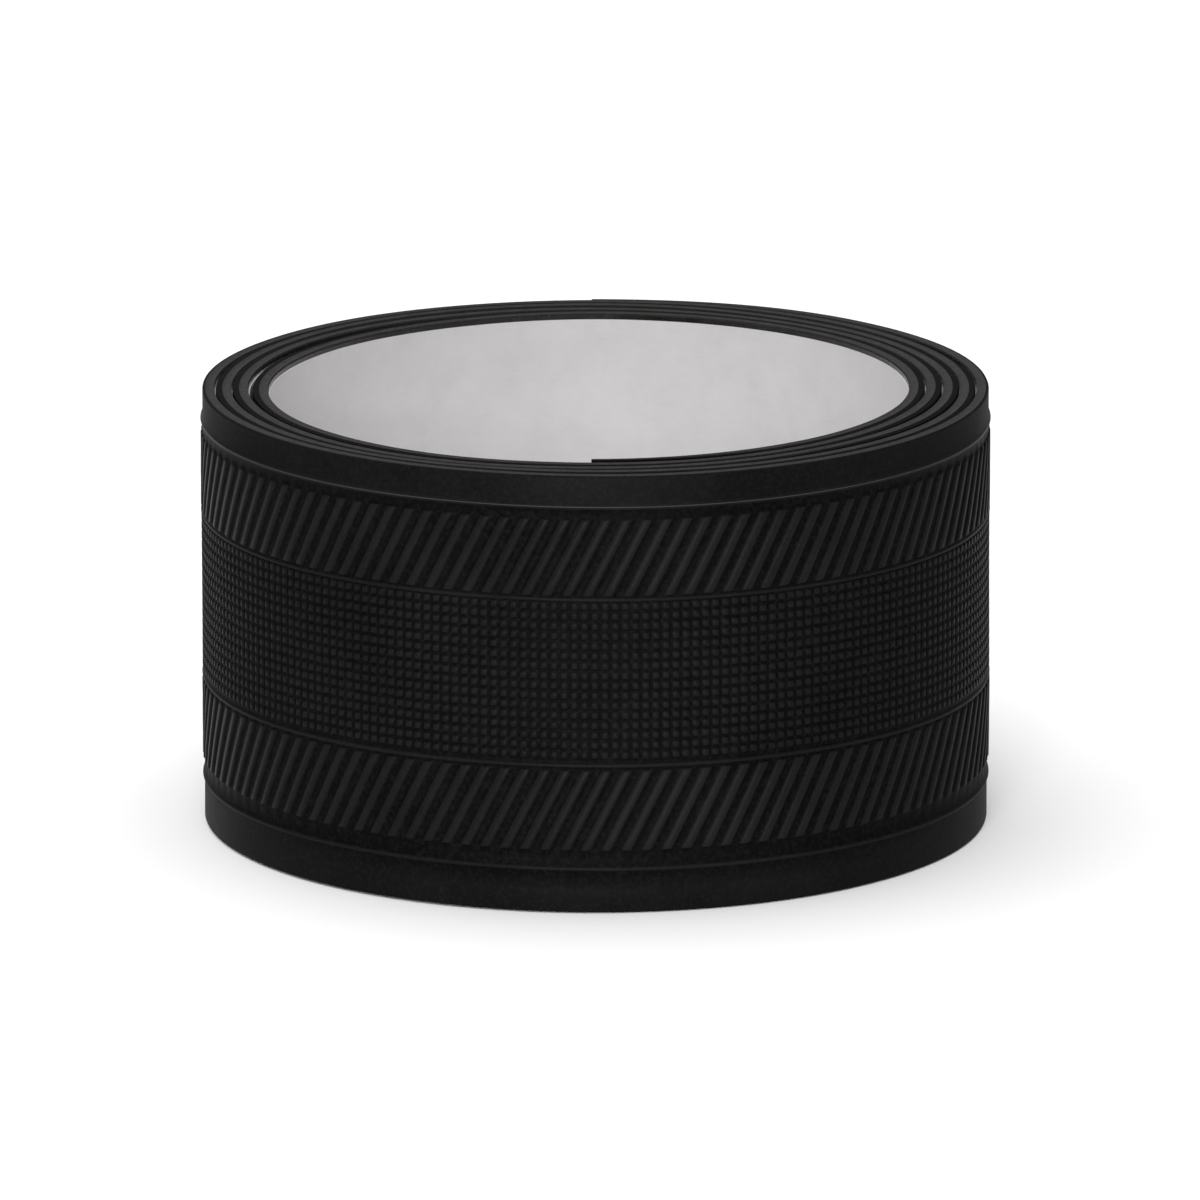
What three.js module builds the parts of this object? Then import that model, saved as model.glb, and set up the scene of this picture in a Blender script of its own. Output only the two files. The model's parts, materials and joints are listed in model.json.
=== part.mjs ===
// Grip tape roll: a wide adhesive-backed grip tape, wound grip side out on its own white release liner.
// The roll stands on one flat end. Units are millimetres, +Z runs up the roll's axis, and the origin is
// the middle of the roll's footprint. The strip is one laminate of four layers, wound as a spiral.
import * as THREE from 'three';

// Strip
const TAPE_WIDTH = 36;
const LINER_WIDTH = 35;
const LINER_THICKNESS = 0.1;
const ADHESIVE_THICKNESS = 0.06;
const CUSHION_THICKNESS = 0.72;
const SKIN_THICKNESS = 0.38;

// Winding. Angles are in degrees round the pole, and grow from the inner end to the outer end.
const BORE_RADIUS = 25.55;
const LAP_PITCH = 1.38;
const INNER_END = -90;
const TURNS = 4.5;
const OUTER_END = INNER_END + 360 * TURNS;
const STEPS_PER_TURN = 40;
const STEP = 360 / STEPS_PER_TURN;

// The innermost lap stands a little loose of the next one over part of its turn.
const LOOSE_DEPTH = 0.45;
const LOOSE_CENTRE = 155;
const LOOSE_HALF_SPAN = 65;

// The two ends that lift: the outer tail off the roll, and the liner's inner end off the adhesive.
const TAIL_SPAN = 72;
const TAIL_ROOT = OUTER_END - TAIL_SPAN;
const FLAP_SPAN = 45;
const FLAP_ROOT = INNER_END + FLAP_SPAN;
const HINGE_CLEARANCE = 0.3;

// Tab that holds the outer end down, past the end and on to the lap below it.
const TAB_THICKNESS = 0.1;
const TAB_WIDTH = 18;
const TAB_HOLD = 18;
const TAB_REACH = 18;
const TAB_CLEARANCE = 0.04;

// Finishing strip, kept on its own liner on the wall of the bore.
const STRIP_START = 198;
const STRIP_END = 252;
const STRIP_WIDTH = 20;
const STRIP_THICKNESS = 0.14;
const STRIP_LINER_THICKNESS = 0.1;
const STRIP_LINER_MARGIN = 1;
const STRIP_INSET = 2;

// Depth of each face of the laminate, outwards from the liner's bare face.
const LINER_FACE = 0;
const ADHESIVE_FACE = LINER_FACE + LINER_THICKNESS;
const CUSHION_FACE = ADHESIVE_FACE + ADHESIVE_THICKNESS;
const SKIN_FACE = CUSHION_FACE + CUSHION_THICKNESS;
const GRIP_FACE = SKIN_FACE + SKIN_THICKNESS;

function radiansOf(degrees) {
  return degrees * Math.PI / 180;
}

// How far the innermost lap has dropped inwards at an angle, as one smooth swell.
function looseness(angle) {
  const offset = Math.abs(angle - LOOSE_CENTRE) / LOOSE_HALF_SPAN;
  return offset < 1 ? LOOSE_DEPTH * (1 + Math.cos(Math.PI * offset)) / 2 : 0;
}

// Radius of the liner's bare face. It grows by one lap pitch each turn.
function windingRadius(angle) {
  return BORE_RADIUS + LAP_PITCH * (angle - INNER_END) / 360 - looseness(angle);
}

// A bend of the faceted spiral, at a depth in the laminate.
function bendAt(angle, depth) {
  const radius = windingRadius(angle) + depth;
  const turn = radiansOf(angle);
  return new THREE.Vector2(radius * Math.cos(turn), radius * Math.sin(turn));
}

// A point of the faceted spiral: between two bends it lies on the straight facet that joins them.
function pointAt(angle, depth) {
  const before = Math.floor(angle / STEP) * STEP;
  const share = (angle - before) / STEP;
  return bendAt(before, depth).lerp(bendAt(before + STEP, depth), share);
}

// Angles from start to end by way of the bends, which every layer shares, so that layers meet face to face.
function stations(start, end) {
  const angles = [start];
  const first = Math.floor(start / STEP) + 1;
  for (let index = first; index * STEP < end; index += 1) {
    angles.push(index * STEP);
  }
  angles.push(end);
  return angles;
}

function clearanceAngle(angle) {
  return HINGE_CLEARANCE / radiansOf(1) / windingRadius(angle);
}

function finish(name, geometry, look) {
  const mesh = new THREE.Mesh(geometry, new THREE.MeshStandardMaterial(look));
  mesh.name = name;
  return mesh;
}

// One layer of the wound laminate between two angles, full width unless a height is given.
function windLayer(name, start, end, innerDepth, outerDepth, look, height = TAPE_WIDTH) {
  const angles = stations(start, end);
  const outer = angles.map((angle) => pointAt(angle, outerDepth));
  const inner = angles.map((angle) => pointAt(angle, innerDepth)).reverse();
  const outline = new THREE.Shape([...outer, ...inner]);
  const geometry = new THREE.ExtrudeGeometry(outline, { depth: height, bevelEnabled: false });
  const mesh = finish(name, geometry, look);
  mesh.position.z = (TAPE_WIDTH - height) / 2;
  return mesh;
}

const SKIN_LOOK = { color: 0x18171a, roughness: 0.62, metalness: 0 };
const CUSHION_LOOK = { color: 0x2b2b2a, roughness: 0.95, metalness: 0 };
const ADHESIVE_LOOK = { color: 0x8f8d86, roughness: 0.25, metalness: 0 };
const LINER_LOOK = { color: 0xdcdad8, roughness: 0.42, metalness: 0 };
const TAB_LOOK = { color: 0x9a9b9d, roughness: 0.35, metalness: 0 };
const STRIP_LOOK = { color: 0x121213, roughness: 0.3, metalness: 0 };
const STRIP_LINER_LOOK = { color: 0xc9b994, roughness: 0.6, metalness: 0 };

// The wound body of the roll, from the inner end to where the tail lifts.
function makeWinding() {
  return [
    windLayer('grip_skin', INNER_END, TAIL_ROOT, SKIN_FACE, GRIP_FACE, SKIN_LOOK),
    windLayer('cushion_backing', INNER_END, TAIL_ROOT, CUSHION_FACE, SKIN_FACE, CUSHION_LOOK),
    windLayer('adhesive_film', INNER_END, TAIL_ROOT, ADHESIVE_FACE, CUSHION_FACE, ADHESIVE_LOOK),
    windLayer('release_liner', FLAP_ROOT, TAIL_ROOT, LINER_FACE, ADHESIVE_FACE, LINER_LOOK,
      LINER_WIDTH),
  ];
}

// The last stretch of the same four layers, which swings out from the roll.
function makeTail() {
  const start = TAIL_ROOT + clearanceAngle(TAIL_ROOT);
  return [
    windLayer('grip_skin_tail', start, OUTER_END, SKIN_FACE, GRIP_FACE, SKIN_LOOK),
    windLayer('cushion_backing_tail', start, OUTER_END, CUSHION_FACE, SKIN_FACE, CUSHION_LOOK),
    windLayer('adhesive_film_tail', start, OUTER_END, ADHESIVE_FACE, CUSHION_FACE, ADHESIVE_LOOK),
    windLayer('release_liner_tail', start, OUTER_END, LINER_FACE, ADHESIVE_FACE, LINER_LOOK,
      LINER_WIDTH),
  ];
}

// The liner's inner end, which peels off the adhesive into the bore.
function makeLinerFlap() {
  const end = FLAP_ROOT - clearanceAngle(FLAP_ROOT);
  return windLayer('release_liner_flap', INNER_END, end, LINER_FACE, ADHESIVE_FACE, LINER_LOOK,
    LINER_WIDTH);
}

// The closing tab lies on the tail, steps down at its cut end and goes on along the lap below.
function makeClosingTab() {
  const held = stations(OUTER_END - TAB_HOLD, OUTER_END);
  const reach = stations(OUTER_END + STEP / 3, OUTER_END + TAB_REACH);
  const stepDown = -LAP_PITCH + GRIP_FACE + TAB_CLEARANCE;
  const under = [
    ...held.map((angle) => pointAt(angle, GRIP_FACE)),
    ...reach.map((angle) => pointAt(angle, stepDown)),
  ];
  const over = [
    ...held.map((angle) => pointAt(angle, GRIP_FACE + TAB_THICKNESS)),
    ...reach.map((angle) => pointAt(angle, stepDown + TAB_THICKNESS)),
  ];
  const outline = new THREE.Shape([...over, ...under.reverse()]);
  const geometry = new THREE.ExtrudeGeometry(outline, { depth: TAB_WIDTH, bevelEnabled: false });
  const mesh = finish('closing_tab', geometry, TAB_LOOK);
  mesh.position.z = (TAPE_WIDTH - TAB_WIDTH) / 2;
  return mesh;
}

// The finishing strip and its liner lie on the bare face of the innermost lap.
function makeFinishingStrip() {
  const linerHeight = STRIP_WIDTH + 2 * STRIP_LINER_MARGIN;
  const linerFace = -STRIP_LINER_THICKNESS;
  const stripFace = linerFace - STRIP_THICKNESS;
  return [
    windLayer('finishing_strip_liner', STRIP_START, STRIP_END, linerFace, LINER_FACE,
      STRIP_LINER_LOOK, linerHeight),
    windLayer('finishing_strip', STRIP_START + STRIP_INSET, STRIP_END - STRIP_INSET, stripFace, linerFace,
      STRIP_LOOK, STRIP_WIDTH),
  ];
}

const roll = new THREE.Group();
roll.add(...makeWinding());
roll.add(...makeTail());
roll.add(makeLinerFlap());
roll.add(makeClosingTab());
roll.add(...makeFinishingStrip());

// The spiral's pole is not the middle of the roll, so the roll is centred on its own footprint.
const footprint = new THREE.Box3().setFromObject(roll).getCenter(new THREE.Vector3());
roll.position.set(-footprint.x, -footprint.y, 0);

export default roll;
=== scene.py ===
import json
import math

import bmesh
import bpy
import numpy as np
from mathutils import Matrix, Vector


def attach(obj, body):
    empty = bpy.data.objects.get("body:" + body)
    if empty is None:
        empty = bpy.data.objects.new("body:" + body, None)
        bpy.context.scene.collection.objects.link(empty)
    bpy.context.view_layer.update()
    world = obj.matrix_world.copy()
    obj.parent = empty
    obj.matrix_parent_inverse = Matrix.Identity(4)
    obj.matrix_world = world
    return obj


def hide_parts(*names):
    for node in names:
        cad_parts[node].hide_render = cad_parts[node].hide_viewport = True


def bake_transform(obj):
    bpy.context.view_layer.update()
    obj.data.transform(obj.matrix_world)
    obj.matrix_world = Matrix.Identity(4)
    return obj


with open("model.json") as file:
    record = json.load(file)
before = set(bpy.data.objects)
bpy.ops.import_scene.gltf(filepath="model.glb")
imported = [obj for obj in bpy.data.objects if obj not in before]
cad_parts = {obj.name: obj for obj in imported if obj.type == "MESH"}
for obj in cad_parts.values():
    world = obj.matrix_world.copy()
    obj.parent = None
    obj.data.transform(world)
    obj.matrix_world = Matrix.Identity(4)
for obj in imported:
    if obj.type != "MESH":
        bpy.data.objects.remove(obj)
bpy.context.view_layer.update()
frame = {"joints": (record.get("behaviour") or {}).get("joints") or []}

# Lengths are in millimetres and angles in degrees, but the stage's lengths are in metres.
MM = 0.001

# The winding, as the frame has it. Angles grow from the strip's inner end to its outer end.
TAPE_WIDTH = 36
BORE_RADIUS = 25.55
LAP_PITCH = 1.38
INNER_END = -90
OUTER_END = INNER_END + 360 * 4.5
TAIL_ROOT = OUTER_END - 72
FLAP_ROOT = INNER_END + 45

# The innermost lap's loose stretch, and the stretch at each end of the strip that is squeezed thinner.
LOOSE_DEPTH = 0.45
LOOSE_CENTRE = 155
LOOSE_HALF_SPAN = 65
THIN_SPAN = 40
THIN_SHARE = 0.45

# The strip's creep along the axis, as waves of (size, waves a turn, start in turns), and the unevenness of
# its radius, as waves of (size, radians for each radian of winding, radians for each millimetre of height).
RISE_MEAN = 0.1
RISE_WAVES = ((0.05, 0.83, 0.1), (0.035, 2.3, 0.4), (0.015, 6.1, 0.2))
SLACK_WAVES = ((0.02, 3.3, 0.11), (0.012, 9.7, -0.23), (0.012, 1.9, 0.35))

# Depth of each face of the laminate, outwards from the liner's bare face. The wound laps' skin is pressed
# against the next lap's liner, and eases back to the embossed face over the settling span.
LINER_FACE = 0
ADHESIVE_FACE = 0.1
CUSHION_FACE = 0.16
SKIN_FACE = 0.88
GRIP_FACE = 1.26
PRESSED_FACE = LAP_PITCH + 0.02
SETTLE_SPAN = 5

# Where each layer is cut into pieces. The outer piece starts less than half a turn before the tail's
# root. The liner's inner piece reaches a little past the flap's root.
EMBOSS_START = TAIL_ROOT - 364
OUTER_PIECE_START = TAIL_ROOT - 171
FLAP_PIECE_END = FLAP_ROOT + 36

# Winding between one cross-section and the next, and the angle above which an edge is sharp.
PLAIN_STEP = 1.5
CUSHION_STEP = 0.7
PLAIN_SHARP = 40
CUSHION_SHARP = 60
EMBOSSED_SHARP = 62

# The skin's rounded edges, and how far their middle point is from both faces, as a share of the rounding.
EDGE_ROUND = 0.12
EDGE_MIDDLE = 0.3

# The cushion's cut edges: the points across them, and the depth of their hollow, pits and tears.
CUT_FACE_POINTS = 6
CUT_HOLLOW = 0.09
CUT_PITS = 0.09
CUT_TEARS = 0.018
PIT_SEED = 7

# How far the adhesive and the liner stay inside the tape's edges, and the liner's parts up its height.
ADHESIVE_INSET = 0.15
LINER_INSET = 0.5
LINER_PARTS = 12

# The grip face: levels from the rib tops, and heights of its zones above the bottom edge.
BORDER_LEVEL = -0.15
FIELD_LEVEL = -0.16
BEAD_LEVEL = 0
PAD_LEVEL = -0.03
BOTTOM_BORDER = 3.6
LOWER_RIBS = (5.1, 11.8)
PAD_FIELD_START = 12.5
UPPER_RIBS = (26.1, 32.5)
TOP_BORDER = 33.5
BEAD_HALF_WIDTH = 0.22
# The top bead's crest stands a little above the rib tops, which marks it for the skin's painted highlight.
TOP_BEAD_LEVEL = 0.02
TOP_BEAD_HALF_WIDTH = 0.3

# The ribs and pads. Their pitch is along the strip, at the feature radius. A rib's end slopes down over
# a short stretch, by way of a point that still has a share of the rib's height.
FEATURE_RADIUS = 32.2
RIB_LEAN = 27
PAD_PITCH = 0.82
RIB_PITCH = 2 * PAD_PITCH
PAD_ROWS = 16
PAD_FIELD_END = PAD_FIELD_START + PAD_ROWS * PAD_PITCH
RIB_BAND_ROWS = 8
RIB_END = 0.16
RIB_END_SHARE = 0.7

# Columns of one rib's pitch, which is two pads' pitch, and the level of each column where the face is a
# rib, a row of pads or plain, as a share of the feature's height.
COLUMN_OFFSETS = (0, 0.22, 0.32, 0.72, 0.82, 1.04, 1.14, 1.54)
RIB_SHAPE = (0, 0, 0.78, 1, 1, 0.78, 0, 0)
PAD_SHAPE = (0, 0, 1, 1, 0, 0, 1, 1)
PLAIN_SHAPE = (0, 0, 0, 0, 0, 0, 0, 0)
SHAPE_HEIGHTS = {
    RIB_SHAPE: -FIELD_LEVEL,
    PAD_SHAPE: PAD_LEVEL - FIELD_LEVEL,
    PLAIN_SHAPE: 0,
}

# The smooth borders' place between the grooves' painted shade, 0, and the rib tops' painted highlight, 1.
# It paints a sheen on them as a lighter colour, and also sets their roughness.
BORDER_SHEEN = 0.45

# The closing tab. It reaches as far before the strip's outer end as after it. It sinks between the ribs
# and pads, whose middles are given as a share of their pitch.
TAB_THICKNESS = 0.1
TAB_HEIGHT = 18
TAB_SPAN = 18
TAB_CORNER = 1.6
TAB_GRID = (120, 90)
TAB_OVERLAP = 0.01
TAB_DROP = LAP_PITCH - 0.02
TAB_DROP_SPAN = 3.2
TAB_SINK = 0.05
PAD_MIDDLE = 0.63
RIB_MIDDLE = 0.317

# The finishing strip, on a liner that shows as a margin round it. It is against the bore's bare face, with
# a small gap under its liner.
STRIP_SPAN = (200, 250)
STRIP_LINER_SPAN = (198, 252)
STRIP_WIDTH = 20
STRIP_MARGIN = 1
STRIP_THICKNESS = 0.14
STRIP_LINER_THICKNESS = 0.1
STRIP_LINER_GAP = 0.01
STRIP_CORNER = 0.4
STRIP_GRID = (60, 20)

# The stage, in metres. Each light is (name, place, aim, size, watts).
CAMERA_DISTANCE = 1.3
CAMERA_ELEVATION = 13.9
CAMERA_AIM = Vector((0.00035, 0, 0.0179))
CAMERA_NEAR = 0.01
CAMERA_SENSOR_MM = 36
CAMERA_LENS_MM = 475
FLOOR_REACH = 3
FLOOR_TONE = 0.93
LIGHTS = (
    ("top_softbox", (-0.18, 0.1, 1.4), (0, 0, 0.02), (2.6, 2.6), 37.5),
    ("front_softbox", (-0.12, -1.3, 0.5), (0, 0, 0.02), (0.5, 0.5), 9),
    ("low_strip", (-0.12, -1.7, 0.018), (0, 0, 0.018), (0.3, 0.03), 22),
)
WORLD_STRENGTH = 0.27

joints = {joint["name"]: joint for joint in frame["joints"]}


# ---------------------------------------------------------------- winding

def ease(share):
    """Goes from 0 to 1 like the share it is given, but slowly at both ends."""
    return share * share * (3 - 2 * share)


def winding_radius(angle):
    """Radius of the liner's bare face, which comes inwards where the innermost lap is loose."""
    offset = np.clip(np.abs(angle - LOOSE_CENTRE) / LOOSE_HALF_SPAN, 0, 1)
    looseness = LOOSE_DEPTH * (1 + np.cos(np.pi * offset)) / 2
    return BORE_RADIUS + LAP_PITCH * (angle - INNER_END) / 360 - looseness


def find_pole():
    """The spiral's pole, from the tail's hinge, which lies on the grip face at the tail's root."""
    hinge = joints["tail_lift"]["pos_m"]
    radius = float(winding_radius(TAIL_ROOT)) + GRIP_FACE
    turn = math.radians(TAIL_ROOT)
    return hinge[0] / MM - radius * math.cos(turn), hinge[1] / MM - radius * math.sin(turn)


POLE_X, POLE_Y = find_pole()


def lap_rise(angle):
    """How far the strip has crept up along the axis, so that the laps aren't all level."""
    turns = (angle - INNER_END) / 360
    waves = [size * np.sin(2 * np.pi * (rate * turns + start)) for size, rate, start in RISE_WAVES]
    return sum(waves, RISE_MEAN)


def slackness(angle, height):
    """A slight unevenness of the strip's radius, as soft tape has when it is wound by machine."""
    turn = np.radians(angle)
    return sum(size * np.sin(along * turn + across * height) for size, along, across in SLACK_WAVES)


def thinned(angle, depth):
    """Depth in the laminate near the strip's ends, which the winding spindle and the tab have squeezed."""
    inner = np.clip((angle - INNER_END) / THIN_SPAN, 0, 1)
    outer = np.clip((OUTER_END - angle) / THIN_SPAN, 0, 1)
    inner_share = THIN_SHARE + (1 - THIN_SHARE) * ease(inner)
    outer_share = THIN_SHARE + (1 - THIN_SHARE) * ease(outer)
    squeezed = GRIP_FACE - (GRIP_FACE - depth) * inner_share
    return np.where(depth > 0, squeezed * outer_share, np.where(inner < 1, squeezed, depth))


def bend(angle, depth, height):
    """Points of the wound strip in metres, from angle, depth and height along, into and across it."""
    angle = np.asarray(angle, float)
    depth = thinned(angle, np.asarray(depth, float))
    height = np.asarray(height, float)
    radius = winding_radius(angle) + depth + slackness(angle, height)
    turn = np.radians(angle)
    x = POLE_X + radius * np.cos(turn)
    y = POLE_Y + radius * np.sin(turn)
    z = height + lap_rise(angle)
    return np.stack(np.broadcast_arrays(x, y, z), axis=-1) * MM


# ---------------------------------------------------------------- meshes

def finish_mesh(mesh, sharp_above):
    """Splits the end caps, turns all faces outwards and shades them smooth between sharp edges."""
    work = bmesh.new()
    work.from_mesh(mesh)
    wide = [face for face in work.faces if len(face.verts) > 4]
    bmesh.ops.triangulate(work, faces=wide)
    bmesh.ops.recalc_face_normals(work, faces=work.faces)
    work.to_mesh(mesh)
    work.free()
    mesh.shade_smooth()
    mesh.set_sharp_from_angle(angle=math.radians(sharp_above))


def place_mesh(name, mesh, look):
    """An object in the scene for a mesh, with its material."""
    piece = bpy.data.objects.new(name, mesh)
    bpy.context.scene.collection.objects.link(piece)
    mesh.materials.append(look)
    return piece


def add_object(name, vertices, faces, look, sharp_above=PLAIN_SHARP):
    """A piece from its vertices and faces."""
    mesh = bpy.data.meshes.new(name)
    mesh.from_pydata([tuple(vertex) for vertex in vertices], [], faces)
    mesh.validate()
    finish_mesh(mesh, sharp_above)
    return place_mesh(name, mesh, look)


def tube_faces(columns, loop):
    """Quads of a tube of closed loops, with a cap at each end."""
    faces = []
    for column in range(columns - 1):
        here = column * loop
        after = here + loop
        for index in range(loop):
            follow = (index + 1) % loop
            faces.append((here + index, after + index, after + follow, here + follow))
    faces.append(tuple(range(loop)))
    faces.append(tuple(reversed(range((columns - 1) * loop, columns * loop))))
    return faces


def wind_layer(name, start, end, profile, step, look, reshape=None, sharp_above=PLAIN_SHARP):
    """A layer with one cross-section, a closed loop of (height, depth), wound from start to end.

    A reshape function may move the points' heights and depths before they are wound.
    """
    columns = max(2, round((end - start) / step) + 1)
    angles = np.linspace(start, end, columns)[:, None]
    heights = np.array([point[0] for point in profile], float)[None, :]
    depths = np.array([point[1] for point in profile], float)[None, :]
    heights = np.broadcast_to(heights, (columns, len(profile))).copy()
    depths = np.broadcast_to(depths, (columns, len(profile))).copy()
    if reshape is not None:
        reshape(angles, heights, depths)
    vertices = bend(angles, depths, heights).reshape(-1, 3)
    return add_object(name, vertices, tube_faces(columns, len(profile)), look, sharp_above)


# ---------------------------------------------------------------- cross-sections

def flat_profile(inset, inner, outer, parts=4):
    """A thin rectangle, with points up its faces so that it can follow the unevenness."""
    heights = np.linspace(inset, TAPE_WIDTH - inset, parts + 1)
    outside = [(height, outer) for height in heights]
    inside = [(height, inner) for height in reversed(heights)]
    return outside + inside


def wound_skin_profile():
    """The skin where other laps cover it: rounded at its outer edges, and pressed flat by the next lap."""
    level = PRESSED_FACE
    soft = EDGE_ROUND * EDGE_MIDDLE
    outside = [
        (0, level - EDGE_ROUND),
        (soft, level - soft),
        (EDGE_ROUND, level),
        (TAPE_WIDTH / 3, level),
        (TAPE_WIDTH * 2 / 3, level),
        (TAPE_WIDTH - EDGE_ROUND, level),
        (TAPE_WIDTH - soft, level - soft),
        (TAPE_WIDTH, level - EDGE_ROUND),
    ]
    inside = [(TAPE_WIDTH * part / 3, SKIN_FACE) for part in (3, 2, 1, 0)]
    return outside + inside


def settle_edges(angles, heights, depths):
    """Eases the pressed skin back to the embossed face's level over the last stretch that is covered."""
    share = np.clip((angles - (EMBOSS_START - SETTLE_SPAN)) / SETTLE_SPAN, 0, 1)
    outside = depths > SKIN_FACE
    depths -= np.where(outside, share * (PRESSED_FACE - GRIP_FACE - BORDER_LEVEL), 0)


def cushion_profile():
    """The cushion, with several points across each cut edge for its torn cells."""
    inwards = np.linspace(SKIN_FACE, CUSHION_FACE, CUT_FACE_POINTS)
    top = [(TAPE_WIDTH, depth) for depth in inwards]
    bottom = [(0, depth) for depth in reversed(inwards)]
    face = [(TAPE_WIDTH * part / 4, CUSHION_FACE) for part in (3, 2, 1)]
    back = [(TAPE_WIDTH * part / 4, SKIN_FACE) for part in (1, 2, 3)]
    return top + face + bottom + back


def roughen_cut_edges(angles, heights, depths):
    """Pulls the cushion's cut edges in and pits them, most at the middle of its thickness."""
    middle = np.sin(np.pi * (depths - CUSHION_FACE) / (SKIN_FACE - CUSHION_FACE))
    random = np.random.default_rng(PIT_SEED)
    pits = CUT_PITS * random.random(heights.shape) ** 3
    # The tears come and go along the strip, as uneven waves from -2 to 2.
    tears = np.sin(angles * 1.7 + 3 * np.sin(angles * 0.37)) + np.sin(angles * 4.9 + 1)
    pulled_in = (CUT_HOLLOW + pits + CUT_TEARS * (2 + tears)) * middle
    cut = (heights <= 0) | (heights >= TAPE_WIDTH)
    inwards = np.where(heights >= TAPE_WIDTH, -1, 1)
    heights += np.where(cut, inwards * pulled_in, 0)


# ---------------------------------------------------------------- embossed grip face

def bead_rows(centre, below, above, crest=BEAD_LEVEL, half=BEAD_HALF_WIDTH):
    """A low round bead across the strip, from one level to another."""
    levels = (below, (below + 2 * crest) / 3, crest, (above + 2 * crest) / 3, above)
    return [(centre + half * step / 2, levels[step + 2], PLAIN_SHAPE, 0) for step in range(-2, 3)]


def rib_rows(low, high):
    """A band of leaning ribs with rounded ends."""
    places = [(low, 0), (low + RIB_END / 3, RIB_END_SHARE)]
    places += [(float(height), 1) for height in np.linspace(low + RIB_END, high - RIB_END, RIB_BAND_ROWS)]
    places += [(high - RIB_END / 3, RIB_END_SHARE), (high, 0)]
    return [(height, FIELD_LEVEL, RIB_SHAPE, share) for height, share in places]


def pad_rows():
    """Rows of small square pads."""
    rows = []
    for row in range(PAD_ROWS):
        base = PAD_FIELD_START + row * PAD_PITCH
        for offset, share in zip(COLUMN_OFFSETS[:4], PAD_SHAPE[:4]):
            rows.append((base + offset, FIELD_LEVEL, PAD_SHAPE, share))
    rows.append((PAD_FIELD_END, FIELD_LEVEL, PAD_SHAPE, 0))
    return rows


def face_rows():
    """The grip face from the bottom edge to the top: (height, level, column shape, share of it)."""
    soft = EDGE_ROUND * EDGE_MIDDLE
    bottom = [
        (0, BORDER_LEVEL - EDGE_ROUND, PLAIN_SHAPE, 0),
        (soft, BORDER_LEVEL - soft, PLAIN_SHAPE, 0),
        (EDGE_ROUND, BORDER_LEVEL, PLAIN_SHAPE, 0),
        (BOTTOM_BORDER / 2, BORDER_LEVEL, PLAIN_SHAPE, 0),
    ]
    top = [(TAPE_WIDTH - row[0], row[1], PLAIN_SHAPE, 0) for row in reversed(bottom[:3])]
    rows = bottom + bead_rows(BOTTOM_BORDER, BORDER_LEVEL, FIELD_LEVEL)
    rows += rib_rows(*LOWER_RIBS)
    rows += bead_rows((LOWER_RIBS[1] + PAD_FIELD_START) / 2, FIELD_LEVEL, FIELD_LEVEL)
    rows += pad_rows()
    rows += bead_rows((PAD_FIELD_END + UPPER_RIBS[0]) / 2, FIELD_LEVEL, FIELD_LEVEL)
    rows += rib_rows(*UPPER_RIBS)
    rows += bead_rows(TOP_BORDER, FIELD_LEVEL, BORDER_LEVEL, TOP_BEAD_LEVEL, TOP_BEAD_HALF_WIDTH)
    return rows + top


def lean_at(height):
    """How far the columns have leaned along the strip at a height: they lean only through the ribs."""
    lean = math.tan(math.radians(RIB_LEAN))
    bands = (LOWER_RIBS, UPPER_RIBS)
    return sum(lean * float(np.clip(height - low, 0, high - low)) for low, high in bands)


def embossed_columns(start, end):
    """The embossed strip laid flat: position along it, depth and height of every point.

    It is longer than it needs to be at both ends. The last two values are where it starts and its length.
    """
    rows = face_rows()
    length = math.radians(end - start) * FEATURE_RADIUS
    origin = math.radians(start - EMBOSS_START) * FEATURE_RADIUS
    first = math.floor((origin - lean_at(TAPE_WIDTH)) / RIB_PITCH) - 1
    last = math.ceil((origin + length) / RIB_PITCH) + 1
    pitches = range(first, last)
    along = np.array([pitch * RIB_PITCH + offset for pitch in pitches for offset in COLUMN_OFFSETS])
    heights = np.array([row[0] for row in rows])
    levels = np.array([row[1] for row in rows])
    shapes = np.array([row[2] for row in rows])
    rises = np.array([SHAPE_HEIGHTS[row[2]] * row[3] for row in rows])
    relief = np.tile((rises[:, None] * shapes).T, (len(pitches), 1))
    depth = GRIP_FACE + levels[None, :] + relief
    inner_heights = np.array([TAPE_WIDTH * part / 6 for part in (6, 5, 4, 3, 2, 1, 0)])
    depth = np.hstack([depth, np.full((len(along), len(inner_heights)), SKIN_FACE)])
    heights = np.concatenate([heights, inner_heights])
    leans = np.array([lean_at(height) for height in heights])
    position = along[:, None] + leans[None, :]
    height = np.broadcast_to(heights[None, :], depth.shape)
    return position, depth, height, origin, length


def relief_share(depth, height):
    """How far up the relief a point is, 1 on the rib tops, for the skin's painted shade, painted highlight
    and roughness. The smooth borders have one value, their painted sheen.
    """
    if height < BOTTOM_BORDER - BEAD_HALF_WIDTH or height > TOP_BORDER + BEAD_HALF_WIDTH:
        return BORDER_SHEEN
    return max(0, (depth - GRIP_FACE - FIELD_LEVEL) / -FIELD_LEVEL)


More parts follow.
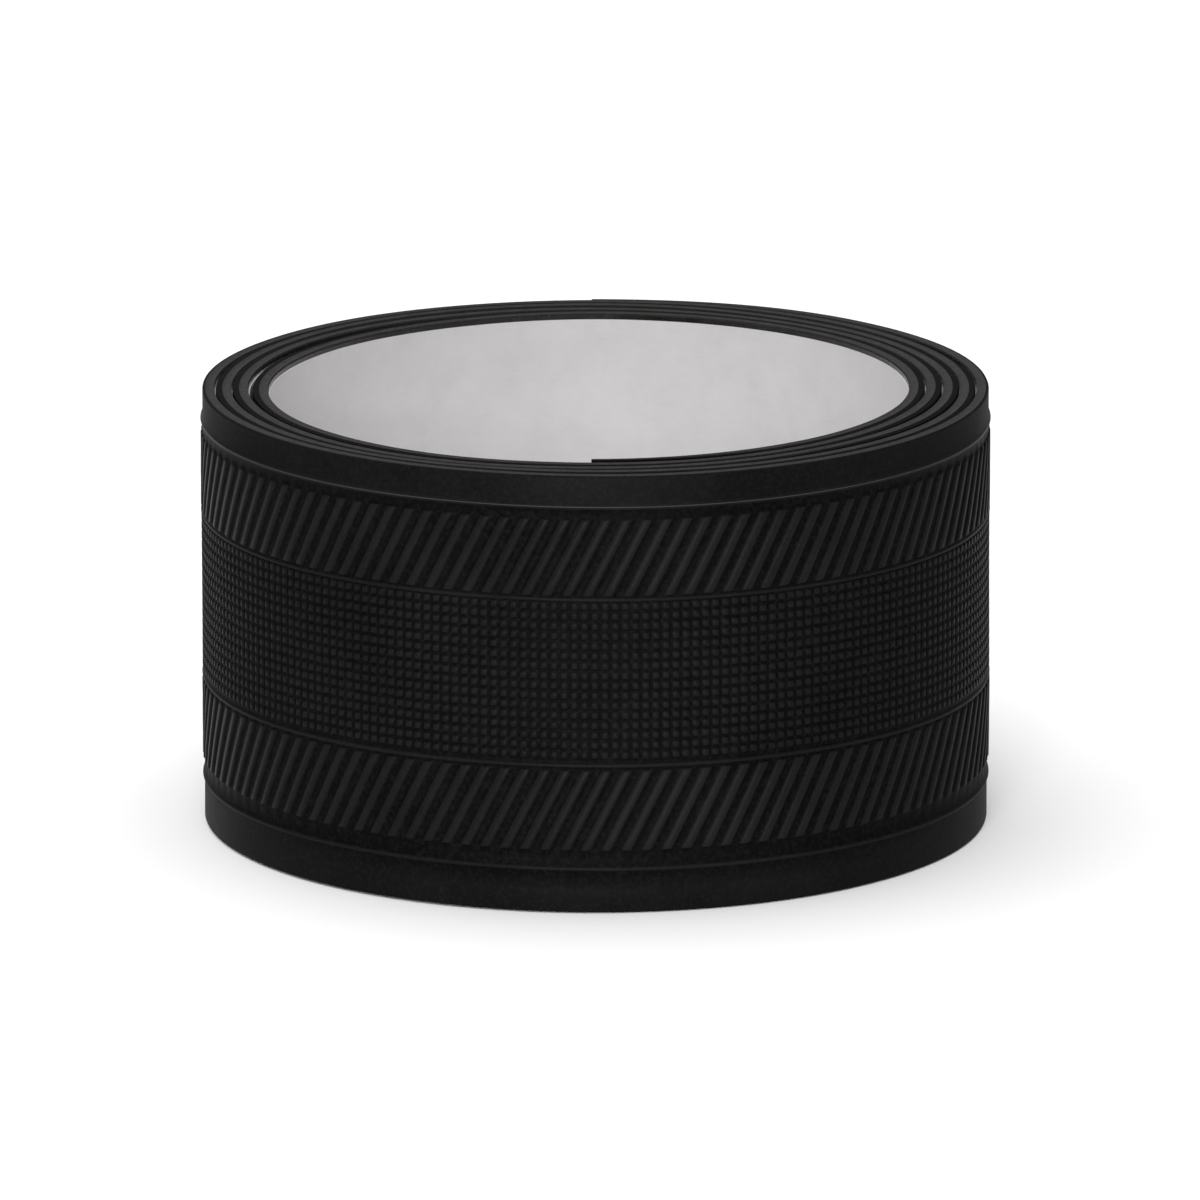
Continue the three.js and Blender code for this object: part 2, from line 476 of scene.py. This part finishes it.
def embossed_skin(name, start, end, look):
    """The skin with its embossed face, built flat, cut square at both ends, and then wound."""
    position, depth, height, origin, length = embossed_columns(start, end)
    flat = np.stack([position, depth, height], axis=-1).reshape(-1, 3)
    mesh = bpy.data.meshes.new(name)
    mesh.from_pydata(flat.tolist(), [], tube_faces(*position.shape))
    work = bmesh.new()
    work.from_mesh(mesh)
    for place, outwards in ((origin, -1), (origin + length, 1)):
        everything = list(work.verts) + list(work.edges) + list(work.faces)
        bmesh.ops.bisect_plane(
            work, geom=everything, plane_co=(place, 0, 0), plane_no=(outwards, 0, 0), clear_outer=True,
        )
        open_edges = [edge for edge in work.edges if edge.is_boundary]
        bmesh.ops.holes_fill(work, edges=open_edges, sides=0)
    relief = work.verts.layers.float.new("relief")
    points = np.array([vertex.co[:] for vertex in work.verts])
    angles = EMBOSS_START + np.degrees(points[:, 0] / FEATURE_RADIUS)
    wound = bend(angles, points[:, 1], points[:, 2])
    for vertex, place, point in zip(work.verts, wound, points):
        vertex.co = place
        vertex[relief] = relief_share(point[1], point[2])
    work.to_mesh(mesh)
    work.free()
    finish_mesh(mesh, EMBOSSED_SHARP)
    return place_mesh(name, mesh, look)


# ---------------------------------------------------------------- materials

def new_look(name, colour, roughness):
    """A material with its shader's plain values set, its node tree and its shader."""
    look = bpy.data.materials.new(name)
    look.use_nodes = True
    look.diffuse_color = (*colour, 1)
    shader = look.node_tree.nodes["Principled BSDF"]
    shader.inputs["Base Color"].default_value = (*colour, 1)
    shader.inputs["Roughness"].default_value = roughness
    return look, look.node_tree, shader


def place_texture(tree, scale=(1, 1, 1)):
    """Object coordinates, stretched by a scale for each axis."""
    coordinates = tree.nodes.new("ShaderNodeTexCoord")
    mapping = tree.nodes.new("ShaderNodeMapping")
    mapping.inputs["Scale"].default_value = scale
    tree.links.new(coordinates.outputs["Object"], mapping.inputs["Vector"])
    return mapping.outputs["Vector"]


def noise(tree, place, per_metre, detail=4, roughness=0.6):
    """A noise texture's value, for a number of features a metre."""
    texture = tree.nodes.new("ShaderNodeTexNoise")
    texture.inputs["Scale"].default_value = per_metre
    texture.inputs["Detail"].default_value = detail
    texture.inputs["Roughness"].default_value = roughness
    tree.links.new(place, texture.inputs["Vector"])
    return texture.outputs["Fac"]


def cells(tree, place, per_metre):
    """The distance to the nearest cell's middle, for a number of cells a metre."""
    texture = tree.nodes.new("ShaderNodeTexVoronoi")
    texture.inputs["Scale"].default_value = per_metre
    tree.links.new(place, texture.inputs["Vector"])
    return texture.outputs["Distance"]


def spread(tree, value, low, high, to_low, to_high):
    """Maps a value from one range to another, held inside it."""
    node = tree.nodes.new("ShaderNodeMapRange")
    ranges = {"From Min": low, "From Max": high, "To Min": to_low, "To Max": to_high}
    for name, number in ranges.items():
        node.inputs[name].default_value = number
    tree.links.new(value, node.inputs["Value"])
    return node.outputs["Result"]


def blend_colours(tree, factor, first, second):
    """A colour between two others, each of them a plain colour or another node's output."""
    node = tree.nodes.new("ShaderNodeMix")
    node.data_type = "RGBA"
    tree.links.new(factor, node.inputs["Factor"])
    # Inputs 6 and 7 of a mix node are its two colours, and output 2 is the mixed colour.
    for socket, colour in ((node.inputs[6], first), (node.inputs[7], second)):
        if isinstance(colour, tuple):
            socket.default_value = (*colour, 1)
        else:
            tree.links.new(colour, socket)
    return node.outputs[2]


def add_bump(tree, shader, height, distance_mm, strength=1.0, under=None):
    """A bump of a real depth, on top of another bump if one is given."""
    node = tree.nodes.new("ShaderNodeBump")
    node.inputs["Strength"].default_value = strength
    node.inputs["Distance"].default_value = distance_mm * MM
    tree.links.new(height, node.inputs["Height"])
    if under is not None:
        tree.links.new(under, node.inputs["Normal"])
    tree.links.new(node.outputs["Normal"], shader.inputs["Normal"])
    return node.outputs["Normal"]


def skin_look():
    """Black elastomer: fine pores, and rib tops worn a little smoother. The grooves are painted darker as
    shade, the rib tops lighter as highlight, and the top bead's crest lighter still as a painted highlight
    line.
    """
    look, tree, shader = new_look("grip_skin_elastomer", (0.006, 0.0057, 0.0061), 0.5)
    place = place_texture(tree)
    relief = tree.nodes.new("ShaderNodeAttribute")
    relief.attribute_name = "relief"
    raised = relief.outputs["Fac"]
    patches = noise(tree, place, 90, 3)
    grain = noise(tree, place, 2600, 3, 0.7)
    pores = cells(tree, place, 4200)
    clouded = spread(tree, patches, 0.35, 0.7, 0, 1)
    # Painted shade and highlight: the colour is darker where the relief is low, in the grooves and on faces
    # without the relief value such as the inner face and the wound laps, and lighter towards the rib tops.
    groove_painted_shade = blend_colours(tree, clouded, (0.001, 0.001, 0.0011), (0.0019, 0.0018, 0.002))
    top = blend_colours(tree, clouded, (0.0058, 0.0053, 0.0054), (0.0085, 0.0079, 0.0079))
    body = blend_colours(tree, spread(tree, raised, 0.05, 1, 0, 1), groove_painted_shade, top)
    # Painted highlight: the top bead's crest, whose relief is above 1, is painted lighter as a line.
    crest = spread(tree, raised, 1.01, 1.12, 0, 1)
    crest_painted_highlight = blend_colours(tree, crest, body, (0.04, 0.0375, 0.0365))
    specks = spread(tree, grain, 0.45, 0.75, 0, 0.35)
    colour = blend_colours(tree, specks, crest_painted_highlight, (0.012, 0.0114, 0.0117))
    tree.links.new(colour, shader.inputs["Base Color"])
    worn = spread(tree, raised, 0, 1, 0.56, 0.4)
    mottled = tree.nodes.new("ShaderNodeMath")
    mottled.operation = "ADD"
    tree.links.new(worn, mottled.inputs[0])
    tree.links.new(spread(tree, patches, 0.3, 0.7, -0.05, 0.06), mottled.inputs[1])
    tree.links.new(mottled.outputs["Value"], shader.inputs["Roughness"])
    under = add_bump(tree, shader, grain, 0.03, 0.55)
    add_bump(tree, shader, pores, 0.012, 0.6, under)
    shader.inputs["Specular IOR Level"].default_value = 0.024
    return look


def cushion_look():
    """Dark closed cell foam, cut clean, with its cells open at the cut and painted darker in their middles
    as shade.
    """
    look, tree, shader = new_look("cushion_foam", (0.035, 0.035, 0.034), 0.95)
    place = place_texture(tree)
    foam = cells(tree, place, 5200)
    cloud = noise(tree, place, 900, 4)
    scuffs = spread(tree, noise(tree, place, 330, 4, 0.7), 0.42, 0.68, 0, 1)
    # Painted shade: the cells' middles, sunk into pits by the bump, take the clouded colour, mostly darker
    # than the rims' colour.
    shade = spread(tree, foam, 0.05, 0.5, 1, 0)
    clean = blend_colours(tree, cloud, (0.007, 0.0068, 0.0067), (0.0155, 0.0151, 0.0148))
    dark = blend_colours(tree, scuffs, clean, (0.026, 0.0254, 0.0248))
    tree.links.new(blend_colours(tree, shade, (0.024, 0.0236, 0.023), dark), shader.inputs["Base Color"])
    tree.links.new(spread(tree, cloud, 0.3, 0.7, 0.85, 1.0), shader.inputs["Roughness"])
    under = add_bump(tree, shader, foam, 0.06, 0.8)
    add_bump(tree, shader, cloud, 0.05, 0.4, under)
    shader.inputs["Specular IOR Level"].default_value = 0.3
    return look


def adhesive_look():
    """Clear tacky film over black foam: dark, wet looking and slightly rippled."""
    look, tree, shader = new_look("adhesive_acrylic", (0.012, 0.0118, 0.011), 0.2)
    place = place_texture(tree)
    ripples = noise(tree, place, 700, 3)
    tree.links.new(spread(tree, ripples, 0.3, 0.7, 0.12, 0.32), shader.inputs["Roughness"])
    colour = blend_colours(tree, ripples, (0.009, 0.0088, 0.0082), (0.016, 0.0155, 0.014))
    tree.links.new(colour, shader.inputs["Base Color"])
    add_bump(tree, shader, ripples, 0.03, 0.5)
    return look


def liner_look():
    """White release paper: a low silicone sheen, soft fibre clouding and faint lines along its length."""
    look, tree, shader = new_look("release_paper", (0.64, 0.635, 0.63), 0.4)
    place = place_texture(tree)
    clouds = noise(tree, place, 260, 5, 0.65)
    fibres = noise(tree, place_texture(tree, (1, 1, 9)), 900, 3)
    clouded = spread(tree, clouds, 0.3, 0.7, 0, 1)
    paper = blend_colours(tree, clouded, (0.59, 0.577, 0.58), (0.65, 0.637, 0.638))
    lined = blend_colours(tree, spread(tree, fibres, 0.4, 0.75, 0, 0.35), paper, (0.69, 0.68, 0.678))
    tree.links.new(lined, shader.inputs["Base Color"])
    tree.links.new(spread(tree, clouds, 0.3, 0.7, 0.36, 0.5), shader.inputs["Roughness"])
    add_bump(tree, shader, fibres, 0.012, 0.5)
    shader.inputs["Coat Weight"].default_value = 0.15
    shader.inputs["Coat Roughness"].default_value = 0.3
    return look


def tab_look():
    """Satin polypropylene film, with faint lines along its height from its drawing."""
    look, tree, shader = new_look("tab_film", (0.3, 0.3, 0.31), 0.3)
    place = place_texture(tree)
    ripples = noise(tree, place, 220, 3)
    drawn = noise(tree, place_texture(tree, (1, 1, 14)), 500, 3)
    clouded = spread(tree, ripples, 0.3, 0.7, 0, 1)
    film = blend_colours(tree, clouded, (0.22, 0.222, 0.228), (0.3, 0.3, 0.305))
    colour = blend_colours(tree, spread(tree, drawn, 0.4, 0.7, 0, 0.3), film, (0.36, 0.36, 0.365))
    tree.links.new(colour, shader.inputs["Base Color"])
    tree.links.new(spread(tree, drawn, 0.3, 0.7, 0.26, 0.38), shader.inputs["Roughness"])
    under = add_bump(tree, shader, ripples, 0.06, 0.4)
    add_bump(tree, shader, drawn, 0.01, 0.35, under)
    return look


def strip_look():
    """Black vinyl finishing tape with a fine pebble grain."""
    look, tree, shader = new_look("finishing_vinyl", (0.011, 0.011, 0.012), 0.3)
    place = place_texture(tree)
    pebbles = cells(tree, place, 1250)
    patches = noise(tree, place, 200, 3)
    waves = noise(tree, place, 110, 2)
    tree.links.new(spread(tree, patches, 0.3, 0.7, 0.25, 0.4), shader.inputs["Roughness"])
    colour = blend_colours(tree, patches, (0.009, 0.009, 0.01), (0.016, 0.016, 0.017))
    tree.links.new(colour, shader.inputs["Base Color"])
    under = add_bump(tree, shader, waves, 0.12, 0.5)
    add_bump(tree, shader, pebbles, 0.03, 0.45, under)
    return look


def strip_liner_look():
    """Yellowish glassine paper."""
    look, tree, shader = new_look("glassine_paper", (0.52, 0.42, 0.26), 0.42)
    place = place_texture(tree)
    clouds = noise(tree, place, 300, 5)
    fibres = noise(tree, place_texture(tree, (1, 1, 6)), 1200, 3)
    paper = blend_colours(tree, clouds, (0.47, 0.375, 0.23), (0.58, 0.475, 0.3))
    tree.links.new(paper, shader.inputs["Base Color"])
    tree.links.new(spread(tree, clouds, 0.3, 0.7, 0.36, 0.52), shader.inputs["Roughness"])
    add_bump(tree, shader, fibres, 0.012, 0.5)
    return look


# ---------------------------------------------------------------- pieces


def follow_tail(piece):
    """Bakes an outer piece's transform into its mesh."""
    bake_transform(piece)


def make_skin():
    """The skin: pressed in the wound laps, embossed under the tail and on the outer lap."""
    look = skin_look()
    profile = wound_skin_profile()
    wound = wind_layer(
        "skin_wound_laps", INNER_END, EMBOSS_START, profile, PLAIN_STEP, look, settle_edges,
    )
    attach(wound, "roll")
    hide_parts("grip_skin")
    rear = embossed_skin("skin_under_tail", EMBOSS_START, OUTER_PIECE_START, look)
    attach(rear, "roll")
    outer = embossed_skin("skin_outer_lap", OUTER_PIECE_START, OUTER_END, look)
    follow_tail(outer)
    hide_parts("grip_skin_tail")


def make_cushion():
    """The foam, with rough cut edges."""
    look = cushion_look()
    profile = cushion_profile()
    wound = wind_layer(
        "cushion_wound_laps", INNER_END, OUTER_PIECE_START, profile, CUSHION_STEP, look,
        roughen_cut_edges, CUSHION_SHARP,
    )
    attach(wound, "roll")
    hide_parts("cushion_backing")
    outer = wind_layer(
        "cushion_outer_lap", OUTER_PIECE_START, OUTER_END, profile, CUSHION_STEP, look,
        roughen_cut_edges, CUSHION_SHARP,
    )
    follow_tail(outer)
    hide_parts("cushion_backing_tail")


def make_adhesive():
    """The adhesive film on the foam's back."""
    look = adhesive_look()
    profile = flat_profile(ADHESIVE_INSET, ADHESIVE_FACE, CUSHION_FACE)
    wound = wind_layer("adhesive_wound_laps", INNER_END, OUTER_PIECE_START, profile, PLAIN_STEP, look)
    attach(wound, "roll")
    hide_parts("adhesive_film")
    outer = wind_layer("adhesive_outer_lap", OUTER_PIECE_START, OUTER_END, profile, PLAIN_STEP, look)
    follow_tail(outer)
    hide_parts("adhesive_film_tail")


def make_liner():
    """The release liner, with its inner end as a piece of its own."""
    look = liner_look()
    profile = flat_profile(LINER_INSET, LINER_FACE, ADHESIVE_FACE, LINER_PARTS)
    end = wind_layer("liner_inner_end", INNER_END, FLAP_PIECE_END, profile, PLAIN_STEP, look)
    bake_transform(end)
    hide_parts("release_liner_flap")
    wound = wind_layer("liner_wound_laps", FLAP_PIECE_END, OUTER_PIECE_START, profile, PLAIN_STEP, look)
    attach(wound, "roll")
    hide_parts("release_liner")
    outer = wind_layer("liner_outer_lap", OUTER_PIECE_START, OUTER_END, profile, PLAIN_STEP, look)
    follow_tail(outer)
    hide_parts("release_liner_tail")


def film_piece(name, look, span, band, thickness, face_at, corner, grid):
    """A thin strip with round corners that lies on a surface, whose depth is face_at(angle, height).

    It covers a span of angles and a band of heights, with a grid of (columns, rows) quads.
    """
    start, end = span
    low, high = band
    columns, rows = grid
    mm_per_degree = FEATURE_RADIUS * math.radians(1)
    middle = (low + high) / 2
    vertices = []
    for side in (0, 1):
        for row in range(rows + 1):
            for column in range(columns + 1):
                angle = start + (end - start) * (column / columns)
                height = low + (high - low) * (row / rows)
                from_end = min(angle - start, end - angle) * mm_per_degree
                if from_end < corner:
                    cut = corner - math.sqrt(max(0, corner ** 2 - (corner - from_end) ** 2))
                    height = middle + (height - middle) * (1 - cut / ((high - low) / 2))
                depth = face_at(angle, height) + thickness * side
                vertices.append(bend(angle, depth, height))
    layer = (rows + 1) * (columns + 1)
    faces = []
    for row in range(rows):
        for column in range(columns):
            here = row * (columns + 1) + column
            quad = (here, here + 1, here + columns + 2, here + columns + 1)
            faces.append(tuple(reversed(quad)))
            faces.append(tuple(index + layer for index in quad))
    edge = list(range(columns))
    edge += [row * (columns + 1) + columns for row in range(rows)]
    edge += [rows * (columns + 1) + column for column in range(columns, 0, -1)]
    edge += [row * (columns + 1) for row in range(rows, 0, -1)]
    for here, after in zip(edge, edge[1:] + edge[:1]):
        faces.append((here, after, after + layer, here + layer))
    return add_object(name, vertices, faces, look)


def band_of(width):
    """A band of heights in the middle of the tape's width."""
    return (TAPE_WIDTH - width) / 2, (TAPE_WIDTH + width) / 2


def imprint(angle, height):
    """How far the film sinks between the ribs and pads under it, from 0 on their tops to 1."""
    along = math.radians(angle - EMBOSS_START) * FEATURE_RADIUS - lean_at(height)
    if PAD_FIELD_START <= height <= UPPER_RIBS[0]:
        across = math.cos(2 * math.pi * ((height - PAD_FIELD_START) / PAD_PITCH - PAD_MIDDLE))
        beside = math.cos(2 * math.pi * (along / PAD_PITCH - PAD_MIDDLE))
        return (2 - across - beside) / 4
    return (1 - math.cos(2 * math.pi * (along / RIB_PITCH - RIB_MIDDLE))) / 2


def tab_depth(angle, height):
    """The closing tab lies on the tail, rolls off its cut end and settles on the lap below."""
    dropped = TAB_DROP * ease(min(1, max(0, (angle - OUTER_END) / TAB_DROP_SPAN)))
    below = angle if angle < OUTER_END else angle - 360
    return GRIP_FACE - TAB_OVERLAP - dropped - TAB_SINK * imprint(below, height)


def make_closing_tab():
    """The film that holds the strip's outer end down."""
    tab = film_piece(
        "closing_tab_film", tab_look(), (OUTER_END - TAB_SPAN, OUTER_END + TAB_SPAN), band_of(TAB_HEIGHT),
        TAB_THICKNESS, tab_depth, TAB_CORNER, TAB_GRID,
    )
    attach(tab, "tail")
    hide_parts("closing_tab")


def strip_liner_depth(angle, height):
    """The finishing strip's liner lies against the bare liner in the bore."""
    return -STRIP_LINER_THICKNESS


def strip_depth(angle, height):
    """The finishing strip lies on its own liner, further into the bore."""
    return -STRIP_LINER_THICKNESS - STRIP_THICKNESS


def make_finishing_strip():
    """The vinyl strip that finishes a wrapped handle, on its paper."""
    liner_width = STRIP_WIDTH + 2 * STRIP_MARGIN
    liner = film_piece(
        "finishing_strip_paper", strip_liner_look(), STRIP_LINER_SPAN, band_of(liner_width),
        STRIP_LINER_THICKNESS - STRIP_LINER_GAP, strip_liner_depth, STRIP_CORNER, STRIP_GRID,
    )
    strip = film_piece(
        "finishing_strip_tape", strip_look(), STRIP_SPAN, band_of(STRIP_WIDTH),
        STRIP_THICKNESS, strip_depth, STRIP_CORNER, STRIP_GRID,
    )
    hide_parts("finishing_strip_liner")
    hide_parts("finishing_strip")
    for piece in (liner, strip):
        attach(piece, "roll")


# ---------------------------------------------------------------- stage, lights, camera

def make_camera():
    """The camera at the photo's angle, with a long lens."""
    camera = bpy.data.objects.new("camera", bpy.data.cameras.new("camera"))
    bpy.context.scene.collection.objects.link(camera)
    elevation = math.radians(CAMERA_ELEVATION)
    back = Vector((0, -math.cos(elevation), math.sin(elevation)))
    camera.location = CAMERA_AIM + back * CAMERA_DISTANCE
    camera.rotation_euler = back.to_track_quat("Z", "Y").to_euler()
    camera.data.sensor_width = CAMERA_SENSOR_MM
    camera.data.lens = CAMERA_LENS_MM
    camera.data.clip_start = CAMERA_NEAR
    bpy.context.scene.camera = camera


def make_floor():
    """A plain pale floor."""
    look, _, shader = new_look("floor_paper", (FLOOR_TONE, FLOOR_TONE, FLOOR_TONE), 0.9)
    shader.inputs["Specular IOR Level"].default_value = 0.1
    corners = [(-1, -1), (1, -1), (1, 1), (-1, 1)]
    mesh = bpy.data.meshes.new("floor")
    mesh.from_pydata([(x * FLOOR_REACH, y * FLOOR_REACH, 0) for x, y in corners], [], [(0, 1, 2, 3)])
    place_mesh("floor", mesh, look)


def add_light(name, place, aim, size, watts):
    """A rectangular area light, turned towards a point."""
    light = bpy.data.objects.new(name, bpy.data.lights.new(name, "AREA"))
    bpy.context.scene.collection.objects.link(light)
    light.data.shape = "RECTANGLE"
    light.data.size, light.data.size_y = size
    light.data.energy = watts
    light.location = place
    away = Vector(place) - Vector(aim)
    light.rotation_euler = away.to_track_quat("Z", "Y").to_euler()


def make_lights():
    """The lights, a white surround that fills the shadows, and a plain view transform."""
    for light in LIGHTS:
        add_light(*light)
    world = bpy.data.worlds.new("world")
    world.use_nodes = True
    surround = world.node_tree.nodes["Background"]
    surround.inputs["Color"].default_value = (1, 1, 1, 1)
    surround.inputs["Strength"].default_value = WORLD_STRENGTH
    bpy.context.scene.world = world
    bpy.context.scene.view_settings.view_transform = "Standard"


make_camera()
make_floor()
make_lights()
make_skin()
make_cushion()
make_adhesive()
make_liner()
make_closing_tab()
make_finishing_strip()
